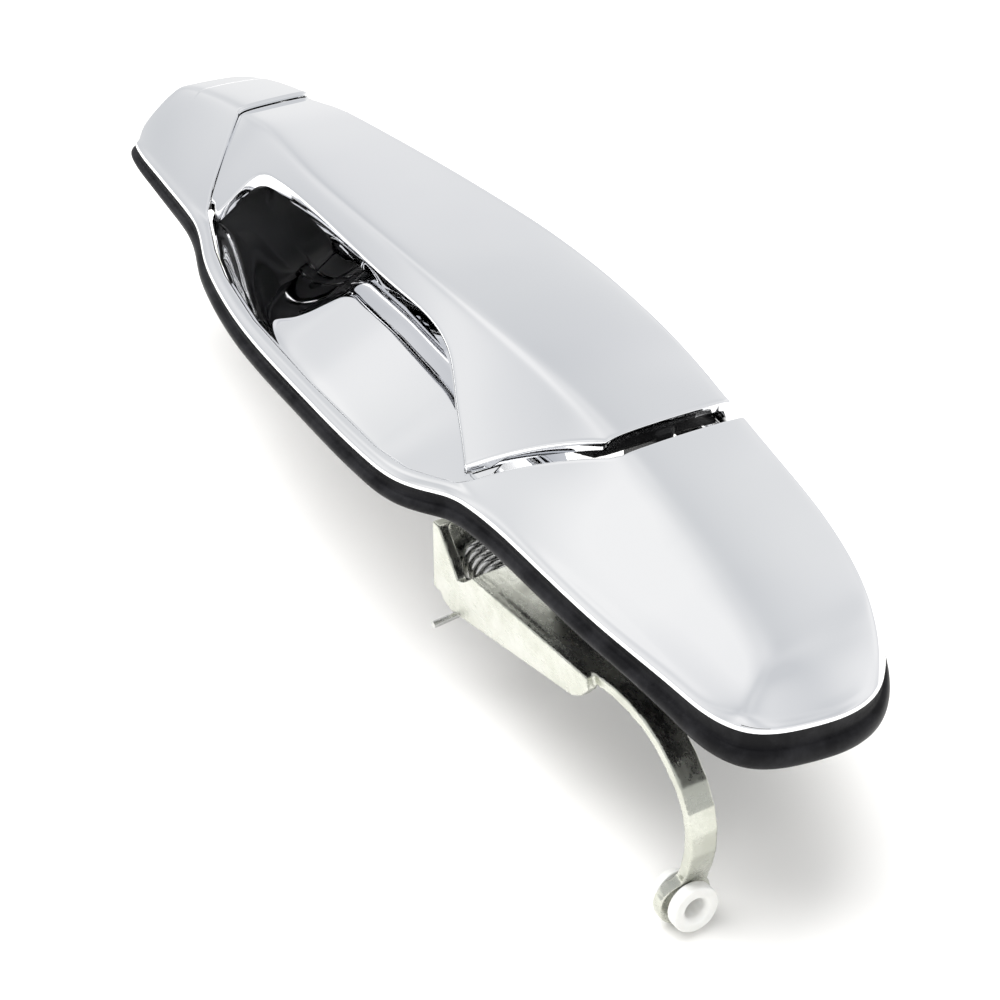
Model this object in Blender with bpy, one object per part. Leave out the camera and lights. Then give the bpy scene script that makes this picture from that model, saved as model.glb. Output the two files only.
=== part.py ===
"""Exterior car door handle of the pull-strap kind: a chromed bar hinged at its left end, set in a chromed
bezel with a finger cup, on a black carrier with a rubber gasket. Its right end lifts a zinc-plated bell
crank, which moves the latch rod. Lengths are in millimetres and become metres as each mesh is made.
X runs along the handle, +Y is its upper side on the door and +Z points away from the door. The gasket's
back lies in z = 0."""

import math

import bmesh
import bpy
import numpy as np
from mathutils import Matrix, Vector

OBJECT_NAME = "car_door_handle"
MM = 0.001
CLEARANCE = 0.3

SEAM_X = -101.8            # the left cap's edge, across the ridge
SEAM_GAP = 1.35            # room for the bar's end, which swings 0.9 towards the cap
BAR_END_X = 60.2           # the bar's free end, at the ridge
BAR_DIP = 1.2              # how far the bar's hinged end sits below the left cap
COVER_WALL = 2.0
BEZEL_WALL = 2.2
CUP_WALL = 1.6
CUP_LIP = 0.5              # the bowl's thickness at its front edge
CUP_FLOOR_Z = -14.5
CUP_BACK_Z = 6.2
CUP_TILT = 0.5             # slope of the bowl's floor, which climbs towards its back
CUP_LEFT_X, CUP_LEFT_RISE = -91.0, 21.5
RIM_RISE = 1.3
EDGE_RISE = 0.8            # height of the bezel's outer edge above its underside
SEAT_DROP = 2.8            # how far the gasket's right end reaches below z = 0
CORE_BACK_Z = 13.0

HINGE = (-97.0, 13.4)      # x, z of the bar's hinge pin, which lies along Y
HINGE_Y = (1.0, 16.6)
KNUCKLE_Y = (4.6, 12.8)
PIN_R = 2.0
BUSH_R = 3.1
KNUCKLE_R = 4.2

PIVOT = (-15.0, -16.2)     # y, z of the bell crank's pin, which lies along X
PIVOT_X = (31.0, 72.0)
PIVOT_R = 2.4
LEVER_T = 2.4              # the crank's sheet thickness
PLATE_Y = -23.6            # outer face of the crank's side plate
EAR_X = 33.4               # outer face of the crank's left flange
WEB = ((49.6, -10.7), (92.0, -6.5))    # x, z of the web's two ends, along its top
ARM_Y = (-21.6, -14.6)
ARM_TIP_Y = (-20.9, -14.9)
TAB = (11.0, -25.0)        # y, z of the crank's input tongue
LEG_X = (49.5, 57.5)       # the bar's leg, which reaches in behind the tongue
LEG_Y = (14.8, 18.8)
FREE_PLAY = 1.4            # gap between the bar's foot and the tongue, at rest
BRIDGE_X = 58.9            # the crank's right flange, which carries the tongue
CLIP_AT = (121.0, -19.5, -40.8)
CLIP_TILT = math.radians(4)
EYELET_R = 5.9
# x, z of the arm's middle line, from the web's left end to the eyelet's far edge
ARM_LINE = ((49.6, -11.9), (70.8, -9.8), (92.0, -7.7), (101.2, -6.6), (110.8, -8.3), (118.1, -12.9),
            (122.4, -18.5), (123.9, -24.5), (123.5, -30.0), (122.2, -34.6), (121.2, -38.2), (121.0, -41.5),
            (121.0, -46.7))

SPRING_X = 37.7            # where the spring's first coil starts
SPRING_TURNS, SPRING_STEPS = 5.25, 12
SPRING_PITCH, SPRING_R, SPRING_WIRE = 2.1, 4.0, 1.6

STUDS = {"stud_front": (-117.0, 1.0, -27.0), "stud_rear": (96.0, 6.0, -24.0)}
SCREWS = {1: (-110.0, -8.0), 2: (-110.0, 11.0), 3: (78.0, 16.0), 4: (112.0, 8.0)}
CARRIER_BACK_Z = -3.0
BEAM_TOP_Z = 1.6

# Pairs of plan points, clockwise from the cup's lower right corner: the bezel's outer edge, the inner edge
# that faces it, and 0 where the surface is only the bare upper rim, or 1.
BEZEL_PAIRS = (
    ((22.0, -32.6), (21.6, -29.6), 1), ((-7.0, -32.9), (-7.0, -29.9), 1),
    ((-37.0, -31.9), (-36.6, -28.9), 1), ((-58.0, -28.8), (-57.2, -25.9), 1),
    ((-70.0, -25.8), (-69.0, -22.9), 1), ((-79.0, -22.6), (-77.8, -19.8), 1),
    ((-88.0, -20.2), (-85.5, -17.2), 1), ((-101.0, -18.7), (-89.6, -13.9), 1),
    ((-118.0, -17.2), (-93.6, -9.4), 1), ((-130.5, -15.7), (-97.2, -5.4), 1),
    ((-136.0, -13.4), (-99.6, -2.8), 1), ((-137.9, -8.5), (-101.0, -1.2), 1),
    ((-138.0, -4.0), (SEAM_X, -0.4), 1), ((-136.8, 2.5), (SEAM_X, 4.0), 1),
    ((-132.6, 11.3), (SEAM_X, 10.0), 1), ((-125.0, 17.2), (SEAM_X, 14.5), 1),
    ((-115.0, 20.8), (SEAM_X, 17.6), 1), ((-104.8, 22.8), (-102.8, 19.9), 1),
    ((-102.6, 23.2), (-102.0, 20.2), 0), ((-74.0, 27.4), (-73.6, 24.4), 0),
    ((-50.0, 30.6), (-49.6, 27.6), 0), ((-27.0, 33.1), (-26.8, 30.1), 0),
    ((-5.0, 34.8), (-4.9, 31.8), 0), ((18.0, 35.4), (18.0, 32.4), 0),
    ((41.0, 35.0), (40.9, 32.0), 0), ((62.6, 33.8), (62.9, 30.8), 0),
    ((65.8, 33.6), (64.9, 30.4), 1), ((84.0, 32.0), (64.9, 27.0), 1),
    ((103.0, 28.6), (64.9, 22.0), 1), ((119.0, 23.2), (64.9, 16.0), 1),
    ((129.0, 17.3), (64.9, 11.0), 1), ((135.0, 10.5), (64.9, 7.0), 1),
    ((136.9, 4.0), (64.8, 4.2), 1), ((136.4, -4.0), (64.6, 1.6), 1),
    ((131.8, -15.2), (63.4, -0.6), 1), ((125.5, -18.4), (60.8, -3.2), 1),
    ((116.0, -19.6), (58.0, -6.0), 1), ((95.0, -21.4), (53.5, -10.5), 1),
    ((68.0, -22.2), (48.5, -15.5), 1), ((49.0, -23.2), (44.2, -19.8), 1),
    ((42.5, -24.9), (40.6, -22.6), 1), ((38.5, -27.6), (36.5, -25.2), 1),
    ((33.0, -30.7), (31.6, -28.0), 1),
)


def spline(*knots):
    """A natural cubic curve through (position, value) knots, level beyond its ends."""
    at, value = np.array(knots, float).T
    gap = np.diff(at)
    matrix, bend = np.eye(len(at)), np.zeros(len(at))
    for i in range(1, len(at) - 1):
        matrix[i, i - 1 : i + 2] = gap[i - 1], 2 * (gap[i - 1] + gap[i]), gap[i]
        bend[i] = 6 * ((value[i + 1] - value[i]) / gap[i] - (value[i] - value[i - 1]) / gap[i - 1])
    bend = np.linalg.solve(matrix, bend)

    def read(x):
        x = np.clip(x, at[0], at[-1])
        i = np.clip(np.searchsorted(at, x) - 1, 0, len(gap) - 1)
        low, high = (at[i + 1] - x) / gap[i], (x - at[i]) / gap[i]
        curved = (low**3 - low) * bend[i] + (high**3 - high) * bend[i + 1]
        return low * value[i] + high * value[i + 1] + curved * gap[i] ** 2 / 6

    return read


ridge_y = spline((-138, -5.2), (-130, -4.2), (-101, -0.5), (-61, -3.3), (-35, -4.1), (-1, -3.9),
                 (25, -2.4), (46, -0.4), (60, 0.8), (77, 0.6), (91, -0.8), (104, -3.1), (114, -5.1),
                 (124, -7.0), (137, -9.0))
ridge_z = spline((-138, 16.4), (-130, 18.6), (-115, 21.4), (-101, 23.0), (-85, 24.2), (-61, 25.3),
                 (-35, 26.2), (-1, 26.9), (25, 25.8), (46, 23.3), (60, 20.4), (77, 17.2), (91, 15.9),
                 (104, 15.0), (114, 14.3), (124, 13.4), (137, 12.0))
foot_y = spline((-138, -15.0), (-94, -19.0), (-20, -21.5), (45, -23.4), (95, -21.6), (137, -18.6))
foot_z = spline((-138, 4.0), (-94, 5.4), (0, 5.9), (68, 6.2), (137, 6.0))
under_z = spline((-138, 3.2), (-94, 4.4), (0, 5.0), (68, 5.3), (137, 5.1))
wall_slope = spline((-138, 2.8), (-120, 3.4), (-100, 3.8), (-50, 4.3), (0, 4.6), (40, 4.4), (65, 3.9),
                    (85, 3.5), (105, 3.3), (137, 3.2))
bar_low_y = spline((-87.3, -15.4), (-84.0, -15.9), (-81.2, -15.8), (-80.0, -13.4), (-78.8, -10.4),
                   (-76.0, -7.6), (-70.0, -6.8), (-57.0, -6.9), (-31.0, -7.6), (-7.5, -7.9),
                   (8.0, -8.0), (17.0, -9.7), (25.7, -13.4), (34.3, -17.0), (39.9, -19.5))
cup_back_y = spline((-92, 15.0), (-82, 13.0), (-69, 9.6), (-58, 6.6), (-46, 5.0), (-35, 4.6), (-26, 5.2),
                    (-17, 7.0), (-6, 8.6), (20, 8.0), (44, 2.0), (56, -4.0))


def pair_positions():
    """How far round the bezel's outer edge each pair lies, and the whole length."""
    outer = np.array([pair[0] for pair in BEZEL_PAIRS])
    step = np.linalg.norm(np.roll(outer, -1, axis=0) - outer, axis=1)
    return np.concatenate([[0], np.cumsum(step)])


def outer_edge(count):
    """The bezel's outer edge as count evenly spread points of a smooth closed curve."""
    at, wrap = pair_positions(), 4
    points = np.array([pair[0] for pair in BEZEL_PAIRS])
    around = np.concatenate([at[-1 - wrap : -1] - at[-1], at[:-1], at[:wrap] + at[-1]])
    doubled = np.vstack([points[-wrap:], points, points[:wrap]])
    place = np.linspace(0, at[-1], count, endpoint=False)
    return np.stack([spline(*zip(around, doubled[:, i]))(place) for i in (0, 1)], axis=1)


def inner_edge(count):
    """The points that face outer_edge's, and for each 1 on the end caps and 0 on the bare rim."""
    at = pair_positions()
    rows = np.array([(*pair[1], pair[2]) for pair in BEZEL_PAIRS])
    closed = np.vstack([rows, rows[:1]])
    place = np.linspace(0, at[-1], count, endpoint=False)
    x, y, cap = (np.interp(place, at, closed[:, i]) for i in range(3))
    return np.stack([x, y], axis=1), cap


OUTLINE = outer_edge(720)


def edge_distance(x, y, line=OUTLINE, closed=True):
    """Distance from each plan point to a line of short straight steps."""
    start = line if closed else line[:-1]
    step = (np.roll(line, -1, axis=0) if closed else line[1:]) - start
    point = np.stack([np.ravel(x), np.ravel(y)], axis=1)[:, None, :] - start
    along = np.clip((point * step).sum(2) / (step**2).sum(1), 0, 1)
    away = point - along[..., None] * step
    return np.sqrt((away**2).sum(2).min(1)).reshape(np.shape(x))


def lower_of(a, b, blend):
    return 0.5 * (a + b - np.sqrt((a - b) ** 2 + blend**2))


def higher_of(a, b, blend):
    return 0.5 * (a + b + np.sqrt((a - b) ** 2 + blend**2))


def cup_z(x, y, depth):
    """The bowl: a steep wall behind its front edge, then a floor that climbs to the back and to both ends.
    At its right end it leaves room for the crank."""
    lip = np.interp(x, (-96, -84, 0, 42, 55), (9.0, 5.6, 6.2, 6.6, 11.5))
    left = np.clip((-40.0 - x) / 51.0, 0, 1)
    level = left * left * (3 - 2 * left)
    right = np.clip(x / 40.0, 0, 1)
    slope = CUP_TILT * (1 - 0.35 * right * right * (3 - 2 * right))
    ramp = CUP_BACK_Z - slope * (cup_back_y(np.maximum(x, -35.0)) - y)
    floor = ramp * (1 - level) + (CUP_FLOOR_Z + CUP_LEFT_RISE * left**1.7) * level
    return lip - 0.3 - (lip - floor) * (1 - np.exp(-((depth / 3.4) ** 1.6)))


def skin_z(x, y, inset=0.0):
    """Height of the handle's styled outer surface, or of the surface inset inside it."""
    x, y = np.asarray(x, float), np.asarray(y, float)
    rise = (ridge_z(x) - foot_z(x)) / (ridge_y(x) - foot_y(x))
    along = (y - foot_y(x)) / (ridge_y(x) - foot_y(x))
    lower = ridge_z(x) + rise * (y - ridge_y(x)) + 1.6 * along * (1 - along) - inset * np.sqrt(1 + rise**2)
    across = (y - ridge_y(x)) / 31.0
    upper = ridge_z(x) + 0.55 - 0.9 * across + 1.6 * across * (1 - across) - inset
    edge = edge_distance(x, y) - inset
    wall = under_z(x) + EDGE_RISE + wall_slope(x) * edge
    right = np.maximum(136.9 - 0.012 * (y - 1.5) ** 2 - x, 0) - inset
    left = np.maximum(x + 138.0 - 0.010 * (y + 3.0) ** 2, 0) - inset
    right_end = under_z(x) + EDGE_RISE + 0.72 * right - 0.010 * right**2
    right_end = right_end + 0.04 * np.maximum(right - 20.0, 0) ** 2
    left_end = under_z(x) + EDGE_RISE + 2.3 * left - 0.06 * left**2
    left_end = np.where(left > 18, 26.0 + left, left_end)
    near_right = np.clip((x - 90.0) / 30.0, 0, 1)
    z = lower_of(lower, upper, 1.1 + 0.9 * near_right)
    z = lower_of(z, wall, 1.6)
    z = z + np.clip((x - 95.0) / 6.0, 0, 1) * (lower_of(z, right_end, 1.5) - z)
    return z + np.clip((-105.0 - x) / 4.0, 0, 1) * (lower_of(z, left_end, 2.0) - z)


def bezel_z(x, y, cap):
    rim = under_z(x) + EDGE_RISE + RIM_RISE * np.tanh(edge_distance(x, y) / 1.3)
    styled = rim + cap * (skin_z(x, y) - rim)
    return higher_of(styled, rim, 0.5)


def bezel_under_z(x, y, cap, top):
    inner = np.maximum(under_z(x), cap * skin_z(x, y, BEZEL_WALL))
    return np.minimum(inner, top - 0.5)


def seat_z(x):
    """The gasket's back: flat, but turning down with the door at the right end."""
    t = np.clip((np.asarray(x, float) - 98.0) / 40.0, 0, 1)
    return -SEAT_DROP * t * t * (3 - 2 * t)


def place(thing, parent_name=OBJECT_NAME):
    bpy.data.collections[parent_name].objects.link(thing)
    return thing


def material(name, color, roughness, metallic=0.0):
    made = bpy.data.materials.get(name) or bpy.data.materials.new(name)
    made.use_nodes = True
    shader = made.node_tree.nodes["Principled BSDF"]
    shader.inputs["Base Color"].default_value = (*color, 1)
    shader.inputs["Roughness"].default_value = roughness
    shader.inputs["Metallic"].default_value = metallic
    return made


FINISHES = {
    "chrome": ((0.83, 0.84, 0.86), 0.06, 1.0),
    "zinc": ((0.74, 0.75, 0.70), 0.30, 1.0),
    "steel": ((0.62, 0.63, 0.64), 0.28, 1.0),
    "black_plastic": ((0.018, 0.018, 0.020), 0.45, 0.0),
    "rubber": ((0.012, 0.012, 0.013), 0.60, 0.0),
    "nylon": ((0.86, 0.86, 0.83), 0.45, 0.0),
}


def finish(obj, slot, smooth_angle=35):
    obj.data.materials.append(material(slot, *FINISHES[slot]))
    obj.data.shade_smooth()
    obj.data.set_sharp_from_angle(angle=math.radians(smooth_angle))
    return obj


def mesh_object(name, bm, slot, origin=(0, 0, 0), collection=OBJECT_NAME):
    """An object from a bmesh in millimetres; its origin goes to the given point."""
    bmesh.ops.recalc_face_normals(bm, faces=bm.faces)
    if bm.calc_volume(signed=True) < 0:
        bmesh.ops.reverse_faces(bm, faces=bm.faces)
    bm.transform(Matrix.Scale(MM, 4) @ Matrix.Translation(-Vector(origin)))
    mesh = bpy.data.meshes.new(name)
    bm.to_mesh(mesh)
    bm.free()
    obj = place(bpy.data.objects.new(name, mesh), collection)
    obj.location = Vector(origin) * MM
    return finish(obj, slot) if slot else obj


def between_sheets(top, bottom, ring=False):
    """A closed body from two grids of points, shape (rows, columns, 3), joined along their borders."""
    rows, columns = top.shape[:2]
    bm = bmesh.new()
    sheets = [[[bm.verts.new(point) for point in row] for row in sheet] for sheet in (top, bottom)]
    last = rows if ring else rows - 1
    for sheet, flip in zip(sheets, (1, -1)):
        for i in range(last):
            for j in range(columns - 1):
                after = (i + 1) % rows
                bm.faces.new((sheet[i][j], sheet[after][j], sheet[after][j + 1], sheet[i][j + 1])[::flip])
    first, final = ([(i, j) for i in range(rows)] for j in (0, columns - 1))
    if ring:
        edges = [first + first[:1], final + final[:1]]
    else:
        edges = [first + [(rows - 1, j) for j in range(1, columns - 1)] + final[::-1]
                 + [(0, j) for j in range(columns - 2, -1, -1)]]
    for edge in edges:
        for (a, b), (c, d) in zip(edge, edge[1:]):
            bm.faces.new((sheets[0][a][b], sheets[0][c][d], sheets[1][c][d], sheets[1][a][b]))
    return bm


def add_bmesh(bm, made):
    """Adds a bmesh to another, with its faces turned outwards."""
    bmesh.ops.recalc_face_normals(made, faces=made.faces)
    mesh = bpy.data.meshes.new("added")
    made.to_mesh(mesh)
    made.free()
    bm.from_mesh(mesh)
    bpy.data.meshes.remove(mesh)


def box(bm, low, high):
    size, middle = Vector(high) - Vector(low), (Vector(high) + Vector(low)) / 2
    bmesh.ops.create_cube(bm, size=1, matrix=Matrix.Translation(middle) @ Matrix.Diagonal((*size, 1)))


def rod(bm, start, end, radius, radius_end=None, segments=20):
    start, end = Vector(start), Vector(end)
    turn = (end - start).to_track_quat("Z", "Y").to_matrix().to_4x4()
    bmesh.ops.create_cone(bm, cap_ends=True, segments=segments, radius1=radius,
                          radius2=radius if radius_end is None else radius_end, depth=(end - start).length,
                          matrix=Matrix.Translation((start + end) / 2) @ turn)


def solid(name, slot, shapes, cuts=(), origin=(0, 0, 0)):
    """A union of simple shapes less its cuts. Each shape is a function that adds itself to a bmesh."""
    made = []
    for number, shape in enumerate([*shapes, *cuts]):
        bm = bmesh.new()
        shape(bm)
        made.append(mesh_object(f"{name}_shape_{number}", bm, None, origin, "cutters"))
    body, others = made[0], made[1:]
    for number, other in enumerate(others):
        modifier = body.modifiers.new(other.name, "BOOLEAN")
        modifier.object = other
        modifier.operation = "UNION" if number < len(shapes) - 1 else "DIFFERENCE"
    bpy.context.view_layer.update()
    graph = bpy.context.evaluated_depsgraph_get()
    mesh = bpy.data.meshes.new_from_object(body.evaluated_get(graph))
    for other in made:
        bpy.data.objects.remove(other)
    mesh.name = name
    obj = place(bpy.data.objects.new(name, mesh))
    obj.location = Vector(origin) * MM
    return finish(obj, slot)


def plate(outline, axis, low, high):
    """A shape for solid(): a flat outline stood across an axis, 0 = X or 1 = Y, from low to high."""
    def add(bm):
        rows = []
        for level in (low, high):
            points = [(level, a, b) if axis == 0 else (a, level, b) for a, b in outline]
            rows.append([bm.verts.new(point) for point in points])
        bm.faces.new(rows[0])
        bm.faces.new(rows[1][::-1])
        for i in range(len(outline)):
            after = (i + 1) % len(outline)
            bm.faces.new((rows[0][i], rows[1][i], rows[1][after], rows[0][after]))
    return add


def disc_points(middle, radius, start, end, steps):
    angles = np.radians(np.linspace(start, end, steps))
    return [(middle[0] + radius * math.cos(a), middle[1] + radius * math.sin(a)) for a in angles]


def make_bezel():
    stations, across = 116, (0.0, 0.14, 0.34, 0.56, 0.76, 0.9, 0.97, 1.0)
    outer, (inner, cap) = outer_edge(stations), inner_edge(stations)
    t = np.array(across)[None, :, None]
    plan = inner[:, None, :] * (1 - t) + outer[:, None, :] * t
    x, y = plan[..., 0], plan[..., 1]
    cap = np.repeat(cap[:, None], len(across), axis=1)
    top = bezel_z(x, y, cap)
    under = bezel_under_z(x, y, cap, top)
    bm = between_sheets(np.dstack([x, y, top]), np.dstack([x, y, under]), ring=True)
    return mesh_object("bezel", bm, "chrome")


def bar_plan(u, v, inset=0.0):
    """Plan points of the bar: u along it, v across it from its lower edge over the ridge to its top edge."""
    low = -87.3 + inset + (39.9 + 87.3 - 2 * inset) * u
    high = SEAM_X + SEAM_GAP + inset + (BAR_END_X - SEAM_X - SEAM_GAP - 2 * inset) * u
    top_edge = np.interp(high, OUTLINE_TOP[0], OUTLINE_TOP[1]) - np.where(high < -85, 1.2, 0.7) - inset
    rails_x = [low, high, high, high]
    rails_y = [bar_low_y(low) + inset, ridge_y(high), top_edge - 5.0, top_edge]
    at = (0.0, 0.4, 0.85, 1.0)
    x = np.array([[np.interp(b, at, [r[i] for r in rails_x]) for b in v] for i in range(len(u))])
    y = np.array([[np.interp(b, at, [r[i] for r in rails_y]) for b in v] for i in range(len(u))])
    return x, y


def top_side():
    upper = OUTLINE[OUTLINE[:, 1] > 0]
    order = np.argsort(upper[:, 0])
    return upper[order, 0], upper[order, 1]


OUTLINE_TOP = top_side()


def bar_skin_z(x, y, inset=0.0):
    return skin_z(x, y, inset) - BAR_DIP * np.exp(-(((x - SEAM_X) / 10.0) ** 2))


BAR_U = np.concatenate([np.linspace(0, 0.14, 13), np.linspace(0.17, 1, 30)])


def make_handle_cover():
    v = (0.0, 0.1, 0.24, 0.36, 0.4, 0.45, 0.58, 0.72, 0.82, 0.88, 0.93, 1.0)
    x, y = bar_plan(BAR_U, v)
    top = bar_skin_z(x, y)
    floor = np.where(y > 20, top[:, -1:], -99.0)
    under = np.minimum(np.maximum(bar_skin_z(x, y, COVER_WALL), floor), top - 0.6)
    bm = between_sheets(np.dstack([x, y, top]), np.dstack([x, y, under]))
    return mesh_object("handle_cover", bm, "chrome", (HINGE[0], 0, HINGE[1]))


def core_back_z(x, y):
    """The finger side of the bar: level behind, and sloping up to the cover's lower edge in front."""
    return higher_of(CORE_BACK_Z + 0 * x, 17.5 - 1.1 * (y + 4.5), 2.0)


def add_core_body(bm):
    u = np.concatenate([np.linspace(0, 0.14, 9), np.linspace(0.18, 1, 20)])
    x, y = bar_plan(u, (0.0, 0.2, 0.4, 0.6, 0.8, 1.0), inset=3.6)
    top = bar_skin_z(x, y, COVER_WALL + 0.5)
    under = np.minimum(core_back_z(x, y), top - 1.0)
    add_bmesh(bm, between_sheets(np.dstack([x, y, top]), np.dstack([x, y, under])))


def make_handle_core():
    x, z = HINGE
    arm = [*disc_points((x, z), KNUCKLE_R, 90, 320, 14), (x + 14, 13.5), (x + 14, z + KNUCKLE_R)]
    leg = [(LEG_X[0], -22.0), (LEG_X[1], -22.0), (LEG_X[1], 15.0), (LEG_X[0] - 6.0, 15.0)]
    foot_high = TAB[1] - LEVER_T / 2 - FREE_PLAY
    foot_low = foot_high - 2.7
    return solid(
        "handle_core", "black_plastic",
        [add_core_body,
         plate(arm, 1, *KNUCKLE_Y),
         plate(leg, 1, *LEG_Y),
         lambda bm: box(bm, (LEG_X[0], TAB[0] - 2.0, foot_low), (LEG_X[1], LEG_Y[1], foot_high)),
         lambda bm: box(bm, (LEG_X[0], LEG_Y[0], foot_low), (LEG_X[1], LEG_Y[1], -20.0))],
        [lambda bm: rod(bm, (x, KNUCKLE_Y[0] - 1, z), (x, KNUCKLE_Y[1] + 1, z), BUSH_R + 0.15),
         lambda bm: rod(bm, (x, HINGE_Y[0] - 1.5, z), (x, KNUCKLE_Y[0], z), KNUCKLE_R + 0.8),
         lambda bm: rod(bm, (x, KNUCKLE_Y[1], z), (x, HINGE_Y[1] + 1.6, z), KNUCKLE_R + 0.8)],
        origin=(x, 0, z),
    )


def ring_tube(name, slot, start, end, outer, inner, segments=24, origin=(0, 0, 0)):
    way = (Vector(end) - Vector(start)).normalized()
    return solid(name, slot, [lambda bm: rod(bm, start, end, outer, segments=segments)],
                 [lambda bm: rod(bm, Vector(start) - way, Vector(end) + way, inner, segments=segments)],
                 origin=origin)


def make_hinge():
    x, z = HINGE
    middle = sum(KNUCKLE_Y) / 2
    solid("hinge_pin", "steel",
          [lambda bm: rod(bm, (x, HINGE_Y[0], z), (x, HINGE_Y[1], z), PIN_R),
           lambda bm: rod(bm, (x, HINGE_Y[1] - 0.1, z), (x, HINGE_Y[1] + 0.9, z), PIN_R + 1.2)],
          origin=(x, middle, z))
    for name, low, high in (("hinge_bushing_lower", KNUCKLE_Y[0], middle - 0.2),
                            ("hinge_bushing_upper", middle + 0.2, KNUCKLE_Y[1])):
        ring_tube(name, "nylon", (x, low, z), (x, high, z), BUSH_R, PIN_R + 0.2, 20, (x, middle, z))


def make_cup():
    """The chromed finger bowl under the bar, open along its back."""
    u = np.linspace(0, 1, 37)
    v = np.array((0.0, 0.06, 0.13, 0.21, 0.3, 0.4, 0.52, 0.65, 0.8, 0.92, 1.0))
    inner, _ = inner_edge(1200)
    crease = inner[(inner[:, 1] < -15) & (inner[:, 0] > -87) & (inner[:, 0] < 44)]
    crease = crease[np.argsort(crease[:, 0])]
    left, right = np.array([CUP_LEFT_X, -6.0]), np.array([55.0, -8.0])
    inward = np.gradient(crease, axis=0) @ np.array([[0, 1], [-1, 0]])
    inward /= np.linalg.norm(inward, axis=1, keepdims=True)
    front = np.vstack([left, crease + inward * (CUP_LIP + 0.4), right])
    run = np.concatenate([[0], np.cumsum(np.linalg.norm(np.diff(front, axis=0), axis=1))])
    fx, fy = (np.interp(u * run[-1], run, front[:, i]) for i in (0, 1))
    back_x = left[0] + (right[0] - left[0]) * u
    by = cup_back_y(back_x)
    x = fx[:, None] * (1 - v) + back_x[:, None] * v
    y = fy[:, None] * (1 - v) + by[:, None] * v
    depth = edge_distance(x, y, front, closed=False)
    z = cup_z(x, y, depth)
    sheet = np.dstack([x, y, z])
    slope = np.gradient(sheet, axis=0), np.gradient(sheet, axis=1)
    normal = np.cross(slope[0], slope[1])
    normal /= np.linalg.norm(normal, axis=2, keepdims=True)
    normal *= np.sign(normal[..., 2:])
    wall = CUP_LIP + (CUP_WALL - CUP_LIP) * np.clip(depth / 2.5, 0, 1)[..., None]
    return mesh_object("grip_cup", between_sheets(sheet, sheet - wall * normal), "chrome")


def make_gasket():
    stations = 92
    line = outer_edge(stations)
    ahead = np.roll(line, -1, axis=0) - np.roll(line, 1, axis=0)
    out = np.stack([ahead[:, 1], -ahead[:, 0]], axis=1)
    out /= np.linalg.norm(out, axis=1, keepdims=True)
    if (out[line[:, 0] > 130][:, 0] < 0).all():
        out = -out
    height = under_z(line[:, 0]) - CLEARANCE
    in_cup = (line[:, 1] < -20) & (line[:, 0] < 44) & (line[:, 0] > -86)
    inner = np.where(in_cup, 0.6, 3.2)
    inner = (np.roll(inner, 1) + inner + np.roll(inner, -1)) / 3
    profile = ((0.2, 0.0), (0.9, 0.35), (1.3, 1.1), (1.2, 1.9), (0.4, 2.5), (-0.2, 2.7), (-0.4, 3.0),
               (-0.4, 4.7))
    rows = []
    for point, way, top, back in zip(line, out, height, inner):
        seat = seat_z(point[0])
        section = [(away, seat + level * (top - seat) / 4.7) for away, level in profile]
        section += [(-back - 0.6, top), (-back - 0.6, seat)]
        rows.append([(*(point + way * away), level) for away, level in section])
    bm = bmesh.new()
    verts = [[bm.verts.new(point) for point in row] for row in rows]
    for i in range(stations):
        for j in range(len(rows[0])):
            j2, i2 = (j + 1) % len(rows[0]), (i + 1) % stations
            bm.faces.new((verts[i][j], verts[i2][j], verts[i2][j2], verts[i][j2]))
    return mesh_object("gasket", bm, "rubber")


def block_under_skin(x_range, margin, bottom, gap=1.5, steps=(9, 8)):
    """A shape for solid(): a block inside an end cap, whose top follows the cap's inner surface."""
    def add(bm):
        x = np.repeat(np.linspace(*x_range, steps[0])[:, None], steps[1], axis=1)
        low, high = foot_y(x) + margin, np.interp(x, *OUTLINE_TOP) - margin
        y = low + (high - low) * np.linspace(0, 1, steps[1])
        top = skin_z(x, y, BEZEL_WALL + gap)
        add_bmesh(bm, between_sheets(np.dstack([x, y, top]), np.dstack([x, y, 0 * x + bottom])))
    return add


def add_top_beam(bm):
    """The carrier's rail along the upper side, under the rim."""
    x = np.linspace(-106.0, 68.0, 30)
    y = np.interp(x, *OUTLINE_TOP)
    far, near = y - 5.4, y - 9.4
    top = np.stack([np.stack([x, far, 0 * x + BEAM_TOP_Z], 1), np.stack([x, near, 0 * x + BEAM_TOP_Z], 1)], 1)
    low = top.copy()
    low[..., 2] = CARRIER_BACK_Z
    add_bmesh(bm, between_sheets(top, low))


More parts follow.
